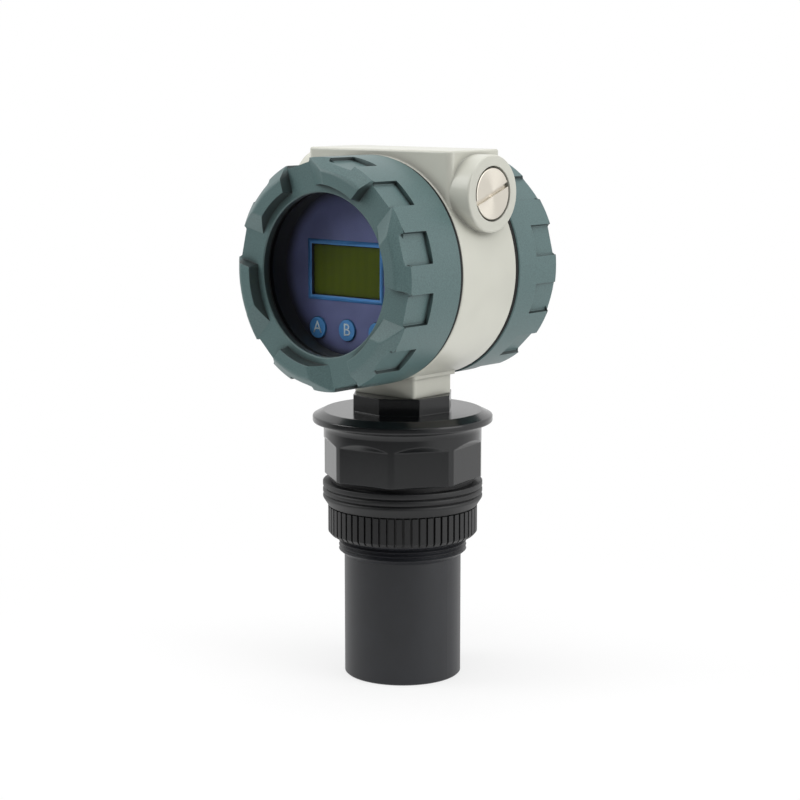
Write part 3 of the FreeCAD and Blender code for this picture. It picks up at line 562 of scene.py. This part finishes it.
def repeat_sector(bm):
    """Copies the sector round the cover's axis and joins the seams."""
    sector = list(bm.verts) + list(bm.edges) + list(bm.faces)
    for index in range(1, LUG_COUNT):
        copied = bmesh.ops.duplicate(bm, geom=sector)
        verts = [item for item in copied["geom"] if isinstance(item, bmesh.types.BMVert)]
        turn = Matrix.Rotation(index * FULL_TURN / LUG_COUNT, 3, "Z")
        bmesh.ops.rotate(bm, verts=verts, cent=(0, 0, 0), matrix=turn)
    bmesh.ops.remove_doubles(bm, verts=list(bm.verts), dist=SEAM_MM)
    bmesh.ops.recalc_face_normals(bm, faces=list(bm.faces))


def smooth_min(first, second, blend):
    """Lower of two heights, with the corner between them rounded."""
    overlap = max(blend - abs(first - second), 0) / blend
    return min(first, second) - overlap * overlap * blend / 4


def nearest_offset(clock, first, count):
    """Angle from the nearest of several evenly spread lines."""
    pitch = FULL_TURN / count
    return (clock - first + pitch / 2) % pitch - pitch / 2


def column_angle(column, radius):
    """Angle from a gap's middle where a mesh column crosses a radius, as columns follow a lug's edges."""
    size = cover_sizes()
    steep_top = -size.gap_half_width - size.steep_run
    ramp_top = size.gap_half_width + size.ramp_run
    knots = ((STEEP_TOP_COLUMN, steep_top), (-GAP_COLUMN, -size.gap_half_width),
             (GAP_COLUMN, size.gap_half_width), (RAMP_TOP_COLUMN, ramp_top))
    for (first, low), (last, high) in zip(knots, knots[1:]):
        if column <= last:
            across = low + (high - low) * (column - first) / (last - first)
            return math.asin(across / radius)
    start = math.asin(ramp_top / radius)
    end = FULL_TURN / LUG_COUNT + math.asin(steep_top / radius)
    share = (column - RAMP_TOP_COLUMN) / (STEEP_TOP_COLUMN + PITCH_COLUMNS - RAMP_TOP_COLUMN)
    return start + (end - start) * share


def shape_lug(bm, base):
    """Lowers a plain raised sector to one lug with a steep end and a long ramp."""
    size = cover_sizes()
    edge_round = 0.3
    column_turn = FULL_TURN / LUG_COUNT / PITCH_COLUMNS
    for vert in bm.verts:
        height = vert.co.z - base
        radius = math.hypot(vert.co.x, vert.co.y)
        if height < -TINY_MM or radius < size.lug_foot_radius - TINY_MM:
            continue
        offset = (math.atan2(vert.co.x, vert.co.y) - size.gap_clock + math.pi) % FULL_TURN - math.pi
        turn = column_angle(round(offset / column_turn), radius)
        across = radius * math.sin(nearest_offset(turn, 0, LUG_COUNT))
        ramp = (across - size.gap_half_width) * size.lug_height / size.ramp_run
        steep = (-across - size.gap_half_width) * size.lug_height / size.steep_run
        rise = max(ramp, steep, 0)
        clock = size.gap_clock + turn
        vert.co = (radius * math.sin(clock), radius * math.cos(clock),
                   base + max(smooth_min(max(height, 0), rise, edge_round), 0))


def shape_pockets(bm, base):
    """Sinks flat-floored pockets into the cover's side, open towards its face."""
    size = cover_sizes()
    edge_round = 0.15
    back_margin = 1.0
    floor = COVER_RADIUS_MM - size.pocket_depth
    back = base - size.pocket_length
    wall_lean = size.pocket_depth / POCKET_WALL_RUN_MM
    for vert in bm.verts:
        radius = math.hypot(vert.co.x, vert.co.y)
        if radius < floor - edge_round or vert.co.z < back - back_margin:
            continue
        clock = math.atan2(vert.co.x, vert.co.y)
        offset = nearest_offset(clock, size.gap_clock, POCKET_COUNT)
        across = radius * math.sin(offset)
        outward = radius * math.cos(offset)
        wall = max(abs(across) - size.pocket_width / 2, back - vert.co.z, 0)
        sunk = smooth_min(outward, floor + wall * wall_lean, edge_round)
        line = clock - offset
        vert.co.x = sunk * math.sin(line) + across * math.cos(line)
        vert.co.y = sunk * math.cos(line) - across * math.sin(line)


def cover_skin(window, base):
    """Cover in millimetres along +Z, seen from outside with Y up."""
    bm = bmesh.new()
    cover_wire(bm, window, base)
    spin_sector(bm)
    shape_lug(bm, base)
    shape_pockets(bm, base)
    repeat_sector(bm)
    return bm


def place_on_head(bm, rear):
    """Takes a shape in millimetres along +Z to the front or rear of the head, in metres."""
    turn = Matrix.Rotation(math.radians(90), 4, "X")
    if rear:
        turn = Matrix.Rotation(math.radians(180), 4, "Z") @ turn
    place = Matrix.Translation((0, 0, HEAD_AXIS_Z)) @ turn @ Matrix.Scale(MM, 4)
    bmesh.ops.transform(bm, matrix=place, verts=list(bm.verts))


class GAUGE_OT_covers(bpy.types.Operator):
    """Makes the two castellated covers"""

    bl_idname = "gauge.covers"
    bl_label = "Covers"

    def execute(self, context):
        coat = powder_coat()
        for name, rear, top in (("front_cover", False, COVER_TOP_MM), ("rear_cover", True, REAR_TOP_MM)):
            bm = cover_skin(not rear, top - cover_sizes().lug_height)
            place_on_head(bm, rear)
            casting = finish_piece(bm, name + "_casting", coat, name, (name,))
            casting.data.set_sharp_from_angle(angle=COVER_SHARP_ANGLE)
        return {"FINISHED"}


def spin_wire(bm, steps):
    """Turns a wire in the XZ plane through a full turn about Z."""
    geometry = list(bm.verts) + list(bm.edges)
    bmesh.ops.spin(bm, geom=geometry, cent=(0, 0, 0), axis=(0, 0, 1), angle=FULL_TURN, steps=steps,
                   use_merge=True)


def seal_skin():
    """Rubber ring in millimetres along +Z, between the drum's shoulder and a cover's mouth."""
    shoulder = SEAL_SHOULDER_MM
    bore = 45.1
    outer_step = 0.55
    mouth_gap = 0.1
    edge_round = 0.3
    outer = COVER_RADIUS_MM - outer_step
    top = COVER_MOUTH_MM + MOUTH_TRIM_MM - mouth_gap
    bm = bmesh.new()
    verts = outline(bm, [(bore, shoulder), (outer, shoulder), (outer, top), (bore, top)], closed=True)
    round_corner(bm, verts[1], edge_round)
    round_corner(bm, verts[2], edge_round)
    spin_wire(bm, TURN_STEPS)
    bmesh.ops.recalc_face_normals(bm, faces=list(bm.faces))
    return bm


def plug_skin(front, end, head_radius):
    """Slotted plug in millimetres along +Z, with a rounded rim."""
    size = plug_sizes()
    head_back = front - size.front_lift - size.head_thickness
    bm = bmesh.new()
    verts = outline(bm, [(0, front), (head_radius, front), (head_radius, head_back),
                         (size.shank_radius, head_back), (size.shank_radius, end), (0, end)], closed=False)
    round_corner(bm, verts[1], size.rim_round, segments=10)
    spin_wire(bm, TURN_STEPS)
    bmesh.ops.remove_doubles(bm, verts=list(bm.verts), dist=SEAM_MM)
    across = Vector((math.cos(size.slot_tilt), math.sin(size.slot_tilt), 0))
    half_width = size.slot_width / 2
    wall_run = 0.02
    for offset in (-half_width - wall_run, -half_width, half_width, half_width + wall_run):
        geometry = list(bm.verts) + list(bm.edges) + list(bm.faces)
        bmesh.ops.bisect_plane(bm, geom=geometry, dist=TINY_MM, plane_co=across * offset, plane_no=across)
    floor = front - size.slot_depth
    for vert in bm.verts:
        if abs(vert.co.dot(across)) < half_width + wall_run / 2:
            vert.co.z = min(vert.co.z, floor)
    bmesh.ops.recalc_face_normals(bm, faces=list(bm.faces))
    return bm


class GAUGE_OT_housing(bpy.types.Operator):
    """Finishes the housing, and makes its seals and the blanking plug"""

    bl_idname = "gauge.housing"
    bl_label = "Housing"

    def execute(self, context):
        dress("housing", sprayed_enamel())
        rubber = moulded_plastic("nitrile rubber", "#0A0A0A", roughness=0.8, grain_mm=0.6, edge_mm=0.2)
        for name in ("plug_seal", "window_seal"):
            dress(name, rubber)
        for name, rear in (("front_cover_seal", False), ("rear_cover_seal", True)):
            bm = seal_skin()
            place_on_head(bm, rear)
            finish_piece(bm, name + "_ring", rubber, "base", (name,))
        low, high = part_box("blanking_plug")
        centre = (0, 0, (low.z + high.z) / 2)
        facing_x = (0, math.radians(90), 0)
        nickel = turned_metal("turned nickel plate", colours().plug, roughness=0.28, centre=centre,
                              axis_turn=facing_x, axis="X")
        front = high.x / MM + plug_sizes().front_lift
        head_radius = (high.z - low.z) / 2 / MM
        bm = plug_skin(front, low.x / MM, head_radius)
        place = Matrix.Translation(centre) @ Matrix.Rotation(math.radians(90), 4, "Y") @ Matrix.Scale(MM, 4)
        bmesh.ops.transform(bm, matrix=place, verts=list(bm.verts))
        turned = finish_piece(bm, "blanking_plug_turned", nickel, "plug", ("blanking_plug",))
        turned.data.set_sharp_from_angle(angle=SHARP_ANGLE)
        return {"FINISHED"}


def nut_skin():
    """Nut in millimetres along +Z, with ribs that run down over its tapered foot."""
    size = nut_sizes()
    bottom = NUT_LOW.z / MM + size.foot_trim
    top = NUT_HIGH.z / MM
    columns = 20
    first_groove_column = 15
    bm = bmesh.new()
    outline(bm, [(size.bore_radius, bottom), (size.foot_radius - size.foot_edge, bottom),
                 (size.foot_radius, bottom + size.foot_edge), (NUT_RADIUS_MM, bottom + size.foot_height),
                 (NUT_RADIUS_MM, top - size.top_lip), (NUT_RADIUS_MM - size.rib_depth, top),
                 (size.bore_radius, top)], closed=True)
    spin_wire(bm, size.rib_count * columns)
    column_turn = FULL_TURN / size.rib_count / columns
    for vert in bm.verts:
        radius = math.hypot(vert.co.x, vert.co.y)
        column = round(math.atan2(vert.co.y, vert.co.x) / column_turn) % columns
        on_rib = radius > size.bore_radius + TINY_MM and vert.co.z < top - TINY_MM
        if on_rib and column >= first_groove_column:
            sunk = (radius - size.rib_depth) / radius
            vert.co.x *= sunk
            vert.co.y *= sunk
    return bm


def ring_skin():
    """Grooved ring in millimetres along +Z, with a collar that leaves a dark recess above its rim."""
    size = nut_sizes()
    bottom = RING_LOW.z / MM
    top = RING_HIGH.z / MM
    rim = top - size.rim_drop
    outer = RING_RADIUS_MM
    lobe_round = 0.4
    half_groove = size.groove_width / 2
    first_groove = bottom + size.groove_height
    corners = [(size.bore_radius, bottom), (NUT_RADIUS_MM, bottom), (outer, bottom + size.taper_height)]
    for middle in (first_groove, first_groove + size.groove_pitch):
        corners.append((outer, middle - half_groove))
        corners.append((outer - size.groove_depth, middle))
        corners.append((outer, middle + half_groove))
    corners += [(outer, rim), (size.collar_radius, rim), (size.collar_radius, top), (size.bore_radius, top)]
    bm = bmesh.new()
    verts = outline(bm, corners, closed=True)
    lobe_edges = [vert for vert in verts if abs(vert.co.x - outer) < TINY_MM]
    for vert in lobe_edges:
        round_corner(bm, vert, lobe_round)
    spin_wire(bm, TURN_STEPS)
    return bm


class GAUGE_OT_sensor(bpy.types.Operator):
    """Finishes the sensor body and tube, and makes the ribbed nut and the ring"""

    bl_idname = "gauge.sensor"
    bl_label = "Sensor"

    def execute(self, context):
        gloss = moulded_plastic("glossy moulded ABS", colours().sensor, roughness=0.2, grain_mm=0.8,
                                edge_mm=0.8)
        dress("sensor_body", gloss)
        satin = moulded_plastic("satin extruded PVC", colours().tube, roughness=0.42, grain_mm=0.5,
                                edge_mm=0.3)
        dress("transducer_tube", satin)
        nut = moulded_plastic("moulded glass-filled nylon", colours().nut, roughness=0.48, grain_mm=0.6,
                              edge_mm=0.25)
        for name, skin in (("lock_nut", nut_skin), ("clamp_ring", ring_skin)):
            bm = skin()
            bmesh.ops.scale(bm, vec=(MM, MM, MM), verts=list(bm.verts))
            bmesh.ops.recalc_face_normals(bm, faces=list(bm.faces))
            moulding = finish_piece(bm, name + "_moulding", nut, "lock_nut", (name,))
            moulding.data.set_sharp_from_angle(angle=SHARP_ANGLE)
        epoxy = moulded_plastic("cast epoxy face", "#3A3B3F", roughness=0.5, grain_mm=0.6, edge_mm=0.3)
        dress("transducer_face", epoxy)
        return {"FINISHED"}


class GAUGE_OT_window(bpy.types.Operator):
    """Finishes the window glass and the ring behind it"""

    bl_idname = "gauge.window"
    bl_label = "Window"

    def execute(self, context):
        dress("window_glass", window_pane())
        anodised = moulded_plastic("black anodised aluminium", "#17181A", roughness=0.45, grain_mm=0.6,
                                   edge_mm=0.3)
        dress("window_ring", anodised)
        return {"FINISHED"}


def screen_frame_skin(width, height, band, thickness):
    """Flat frame in metres about the origin, its face towards +Z."""
    bm = bmesh.new()
    bmesh.ops.create_grid(bm, x_segments=1, y_segments=1, size=0.5)
    bmesh.ops.scale(bm, vec=(width, height, 1), verts=list(bm.verts))
    opening = list(bm.faces)
    bmesh.ops.inset_region(bm, faces=opening, thickness=band, use_boundary=True, use_even_offset=True)
    bmesh.ops.delete(bm, geom=opening, context="FACES_ONLY")
    band_faces = list(bm.faces)
    raised = bmesh.ops.extrude_face_region(bm, geom=band_faces)
    top = [item for item in raised["geom"] if isinstance(item, bmesh.types.BMVert)]
    bmesh.ops.translate(bm, vec=(0, 0, thickness), verts=top)
    bmesh.ops.recalc_face_normals(bm, faces=list(bm.faces))
    return bm


def letter_skin(letter, height):
    """Raised letter in metres, centred on the origin and facing +Z."""
    curve = bpy.data.curves.new("letter", "FONT")
    curve.body = letter
    curve.size = height
    print_thickness = 0.03 * MM
    curve.extrude = print_thickness
    curve.align_x = "CENTER"
    curve.align_y = "CENTER"
    holder = bpy.data.objects.new("letter", curve)
    mesh = bpy.data.meshes.new_from_object(holder)
    bm = bmesh.new()
    bm.from_mesh(mesh)
    bmesh.ops.remove_doubles(bm, verts=list(bm.verts), dist=TINY_MM * MM)
    bpy.data.objects.remove(holder)
    bpy.data.curves.remove(curve)
    bpy.data.meshes.remove(mesh)
    return bm


def face_front(bm, x, y, z):
    """Turns a shape that faces +Z to face the front, at a place in metres."""
    place = Matrix.Translation((x, y, z)) @ Matrix.Rotation(math.radians(90), 4, "X")
    bmesh.ops.transform(bm, matrix=place, verts=list(bm.verts))


class GAUGE_OT_display(bpy.types.Operator):
    """Makes the display's printed frame and key letters, and finishes the panel, screen and keys"""

    bl_idname = "gauge.display"
    bl_label = "Display"

    def execute(self, context):
        # Painted shade on the panel where the walls round it close in
        panel = moulded_plastic("printed polycarbonate overlay", colours().panel, roughness=0.35,
                                grain_mm=0.4, edge_mm=0.2, corner_shade_mm=8.0)
        dress("display_panel", panel)
        dress("lcd_module", liquid_crystal())
        band = 2.1 * MM
        thickness = 0.12 * MM
        opening_width = 41.2 * MM
        opening_height = 23.2 * MM
        bm = screen_frame_skin(opening_width + 2 * band, opening_height + 2 * band, band, thickness)
        screen_x = (SCREEN_LOW.x + SCREEN_HIGH.x) / 2
        screen_z = (SCREEN_LOW.z + SCREEN_HIGH.z) / 2
        face_front(bm, screen_x, PANEL_FRONT_Y, screen_z)
        print_blue = moulded_plastic("blue screen print", colours().frame, roughness=0.4, grain_mm=0.4,
                                     edge_mm=0.1)
        finish_piece(bm, "screen_frame", print_blue, "base")
        key_blue = moulded_plastic("blue silicone rubber", colours().key, roughness=0.42, grain_mm=0.4,
                                   edge_mm=0.5)
        letter_white = moulded_plastic("white pad print", colours().letter, roughness=0.5, grain_mm=0.4,
                                       edge_mm=0.02)
        letter_height = 8.0 * MM
        for name, letter in zip(KEY_NAMES, KEY_LETTERS):
            dress(name, key_blue)
            low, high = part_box(name)
            bm = letter_skin(letter, letter_height)
            face_front(bm, (low.x + high.x) / 2, low.y, (low.z + high.z) / 2)
            finish_piece(bm, name + "_letter", letter_white, name)
        return {"FINISHED"}


# Mouldings inside: solid, material, colour, roughness, grain in mm, edge rounding in mm
INSIDE_MOULDINGS = (
    ("terminal_block", "green polyamide", "#2F7A4B", 0.45, 0.6, 0.3),
    ("key_switches", "black polyamide", "#1A1A1B", 0.5, 0.6, 0.2),
    ("piezo_disc", "fired piezo ceramic", "#C6BFA6", 0.6, 0.4, 0.2),
    ("damping_block", "filled epoxy resin", "#5A5650", 0.6, 1.5, 0.3),
    ("sensor_lead", "extruded PVC jacket", "#202022", 0.5, 0.6, 0.1),
)


class GAUGE_OT_insides(bpy.types.Operator):
    """Finishes the boards, pillars, screws, terminals and transducer insides"""

    bl_idname = "gauge.insides"
    bl_label = "Insides"

    def execute(self, context):
        board = solder_mask()
        dress("display_board", board)
        dress("main_board", board)
        centre = (0, 0, HEAD_AXIS_Z)
        facing_y = (math.radians(90), 0, 0)
        brass = turned_metal("turned brass", "#B9975B", roughness=0.3, centre=centre, axis_turn=facing_y,
                             axis="Y")
        for name in ("display_pillars", "board_pillars", "terminal_pillars"):
            dress(name, brass)
        steel = turned_metal("zinc-plated steel", "#B8B8B4", roughness=0.32, centre=centre,
                             axis_turn=facing_y, axis="Y")
        for name in ("display_screws", "terminal_screws", "earth_screw"):
            dress(name, steel)
        for name, material, colour, roughness, grain_mm, edge_mm in INSIDE_MOULDINGS:
            dress(name, moulded_plastic(material, colour, roughness, grain_mm, edge_mm))
        return {"FINISHED"}


def white_for_eye(tree):
    """One for rays that the eye follows: straight, mirrored or through glass."""
    rays = add_node(tree, "ShaderNodeLightPath")
    seen = add_node(tree, "ShaderNodeMath", {
        0: rays.outputs["Is Camera Ray"], 1: rays.outputs["Is Glossy Ray"]}, operation="MAXIMUM")
    through = add_node(tree, "ShaderNodeMath", {0: seen.outputs[0], 1: rays.outputs["Is Transmission Ray"]},
                       operation="MAXIMUM")
    return through.outputs[0]


def studio_world():
    """White tent round the object: white to the eye, softer as a light, with a dim front to mirror."""
    world = bpy.data.worlds.new("studio")
    world.use_nodes = True
    tree = world.node_tree
    tree.nodes.clear()
    fill_below = 0.12
    fill_above = 0.75
    dim_side = (0.1, -0.99, -0.1)
    dim_strength = 0.06
    rays = add_node(tree, "ShaderNodeLightPath")
    direction = add_node(tree, "ShaderNodeTexCoord").outputs["Generated"]
    facing = add_node(tree, "ShaderNodeVectorMath", {0: direction, 1: dim_side}, operation="DOT_PRODUCT")
    tent = add_node(tree, "ShaderNodeMapRange", {
        "Value": facing.outputs["Value"], "From Min": 0.1, "From Max": 0.65, "To Min": 1.0,
        "To Max": dim_strength}, interpolation_type="SMOOTHSTEP")
    mirrored = add_node(tree, "ShaderNodeMath", {
        0: rays.outputs["Is Glossy Ray"], 1: rays.outputs["Is Transmission Ray"]}, operation="MAXIMUM")
    upward = add_node(tree, "ShaderNodeSeparateXYZ", {"Vector": direction}).outputs["Z"]
    fill = add_node(tree, "ShaderNodeMapRange", {
        "Value": upward, "From Min": -0.5, "From Max": 0.7, "To Min": fill_below, "To Max": fill_above})
    lit = add_node(tree, "ShaderNodeMapRange", {
        "Value": mirrored.outputs[0], "To Min": fill.outputs["Result"], "To Max": tent.outputs["Result"]})
    strength = add_node(tree, "ShaderNodeMath", {
        0: lit.outputs["Result"], 1: rays.outputs["Is Camera Ray"]}, operation="MAXIMUM")
    sky = add_node(tree, "ShaderNodeBackground", {"Color": (1, 1, 1, 1), "Strength": strength.outputs[0]})
    add_node(tree, "ShaderNodeOutputWorld", {"Surface": sky.outputs["Background"]})
    bpy.context.scene.world = world


def studio_floor():
    """Pale matt floor that keeps the shadow near the object and fades to white further out."""
    material, tree = new_material("matt white floor")
    place = add_node(tree, "ShaderNodeTexCoord").outputs["Object"]
    distance = add_node(tree, "ShaderNodeVectorMath", {0: place}, operation="LENGTH")
    near_white = 0.7
    near_edge = 0.05
    far_edge = 0.28
    fade = add_node(tree, "ShaderNodeMapRange", {
        "Value": distance.outputs["Value"], "From Min": near_edge, "From Max": far_edge,
        "To Min": near_white, "To Max": 1.0}, interpolation_type="SMOOTHSTEP")
    amount = add_node(tree, "ShaderNodeMath", {0: white_for_eye(tree), 1: fade.outputs["Result"]},
                      operation="MULTIPLY")
    matt = add_node(tree, "ShaderNodeBsdfDiffuse", {"Color": (0.92, 0.92, 0.92, 1)})
    glow = add_node(tree, "ShaderNodeEmission", {"Color": (1, 1, 1, 1), "Strength": 1.0})
    mixed = add_node(tree, "ShaderNodeMixShader", {"Fac": amount.outputs[0]})
    tree.links.new(matt.outputs["BSDF"], mixed.inputs[1])
    tree.links.new(glow.outputs["Emission"], mixed.inputs[2])
    output(tree, mixed.outputs["Shader"])
    bm = bmesh.new()
    bmesh.ops.create_circle(bm, cap_ends=True, segments=96, radius=0.6)
    mesh = bpy.data.meshes.new("studio_floor")
    bm.to_mesh(mesh)
    bm.free()
    mesh.materials.append(material)
    floor = bpy.data.objects.new("studio_floor", mesh)
    floor_gap = 0.2 * MM
    floor.location.z = CAD_LOW.z - floor_gap
    bpy.context.scene.collection.objects.link(floor)


def add_softbox(name, place, target, width, height, power):
    """Soft rectangular lamp that looks at the object."""
    lamp = bpy.data.lights.new(name, "AREA")
    lamp.shape = "RECTANGLE"
    lamp.size = width
    lamp.size_y = height
    lamp.energy = power
    holder = bpy.data.objects.new(name, lamp)
    holder.location = place
    holder.rotation_euler = (Vector(target) - Vector(place)).to_track_quat("-Z", "Y").to_euler()
    bpy.context.scene.collection.objects.link(holder)


def studio_camera():
    """Camera at the photograph's angle: above and to the right of the display."""
    azimuth = math.radians(40.76)
    elevation = math.radians(9.14)
    distance = 0.936
    aim = Vector((0, 0, 0.1297))
    back = Vector((math.sin(azimuth) * math.cos(elevation), -math.cos(azimuth) * math.cos(elevation),
                   math.sin(elevation)))
    lens = bpy.data.cameras.new("camera")
    lens.sensor_width = 36.0
    lens.lens = 90.3
    lens.shift_x = -0.0033
    camera = bpy.data.objects.new("camera", lens)
    camera.location = aim + back * distance
    camera.rotation_euler = (-back).to_track_quat("-Z", "Y").to_euler()
    bpy.context.scene.collection.objects.link(camera)
    bpy.context.scene.camera = camera


class GAUGE_OT_stage(bpy.types.Operator):
    """Sets up the floor, lamps, surroundings and camera"""

    bl_idname = "gauge.stage"
    bl_label = "Stage"

    def execute(self, context):
        studio_world()
        studio_floor()
        middle = (0, 0, 0.14)
        add_softbox("left_softbox", (-0.8, -0.7, 0.75), middle, width=0.6, height=0.6, power=4.5)
        add_softbox("right_softbox", (0.95, 0.25, 0.5), middle, width=0.6, height=0.9, power=4.0)
        add_softbox("top_softbox", (0.05, -0.1, 1.15), middle, width=0.7, height=0.7, power=4.0)
        studio_camera()
        context.scene.view_settings.view_transform = "Standard"
        return {"FINISHED"}


OPERATORS = (GAUGE_OT_covers, GAUGE_OT_housing, GAUGE_OT_sensor, GAUGE_OT_window, GAUGE_OT_display,
             GAUGE_OT_insides, GAUGE_OT_stage)


class GAUGE_PT_sidebar(bpy.types.Panel):
    """Lists the gauge's operators, sizes and colours"""

    bl_label = "Level gauge"
    bl_idname = "GAUGE_PT_sidebar"
    bl_space_type = "VIEW_3D"
    bl_region_type = "UI"
    bl_category = "Gauge"

    def draw(self, context):
        for operator in OPERATORS:
            self.layout.operator(operator.bl_idname)
        scene = context.scene
        groups = (scene.gauge_cover_sizes, scene.gauge_nut_sizes, scene.gauge_plug_sizes,
                  scene.gauge_colours)
        for group in groups:
            column = self.layout.column()
            for name in group.__annotations__:
                column.prop(group, name)


CLASSES = (GaugeCoverSizes, GaugeNutSizes, GaugePlugSizes, GaugeColours, *OPERATORS, GAUGE_PT_sidebar)


def register():
    """Registers the classes and gives the scene their properties."""
    for item in CLASSES:
        bpy.utils.register_class(item)
    bpy.types.Scene.gauge_cover_sizes = bpy.props.PointerProperty(type=GaugeCoverSizes)
    bpy.types.Scene.gauge_nut_sizes = bpy.props.PointerProperty(type=GaugeNutSizes)
    bpy.types.Scene.gauge_plug_sizes = bpy.props.PointerProperty(type=GaugePlugSizes)
    bpy.types.Scene.gauge_colours = bpy.props.PointerProperty(type=GaugeColours)


def unregister():
    """Takes the properties and classes away again."""
    del bpy.types.Scene.gauge_colours
    del bpy.types.Scene.gauge_plug_sizes
    del bpy.types.Scene.gauge_nut_sizes
    del bpy.types.Scene.gauge_cover_sizes
    for item in reversed(CLASSES):
        bpy.utils.unregister_class(item)


def main():
    """Builds the dressed gauge."""
    register()
    bpy.ops.gauge.covers()
    bpy.ops.gauge.housing()
    bpy.ops.gauge.sensor()
    bpy.ops.gauge.window()
    bpy.ops.gauge.display()
    bpy.ops.gauge.insides()
    bpy.ops.gauge.stage()


if __name__ == "__main__":
    main()
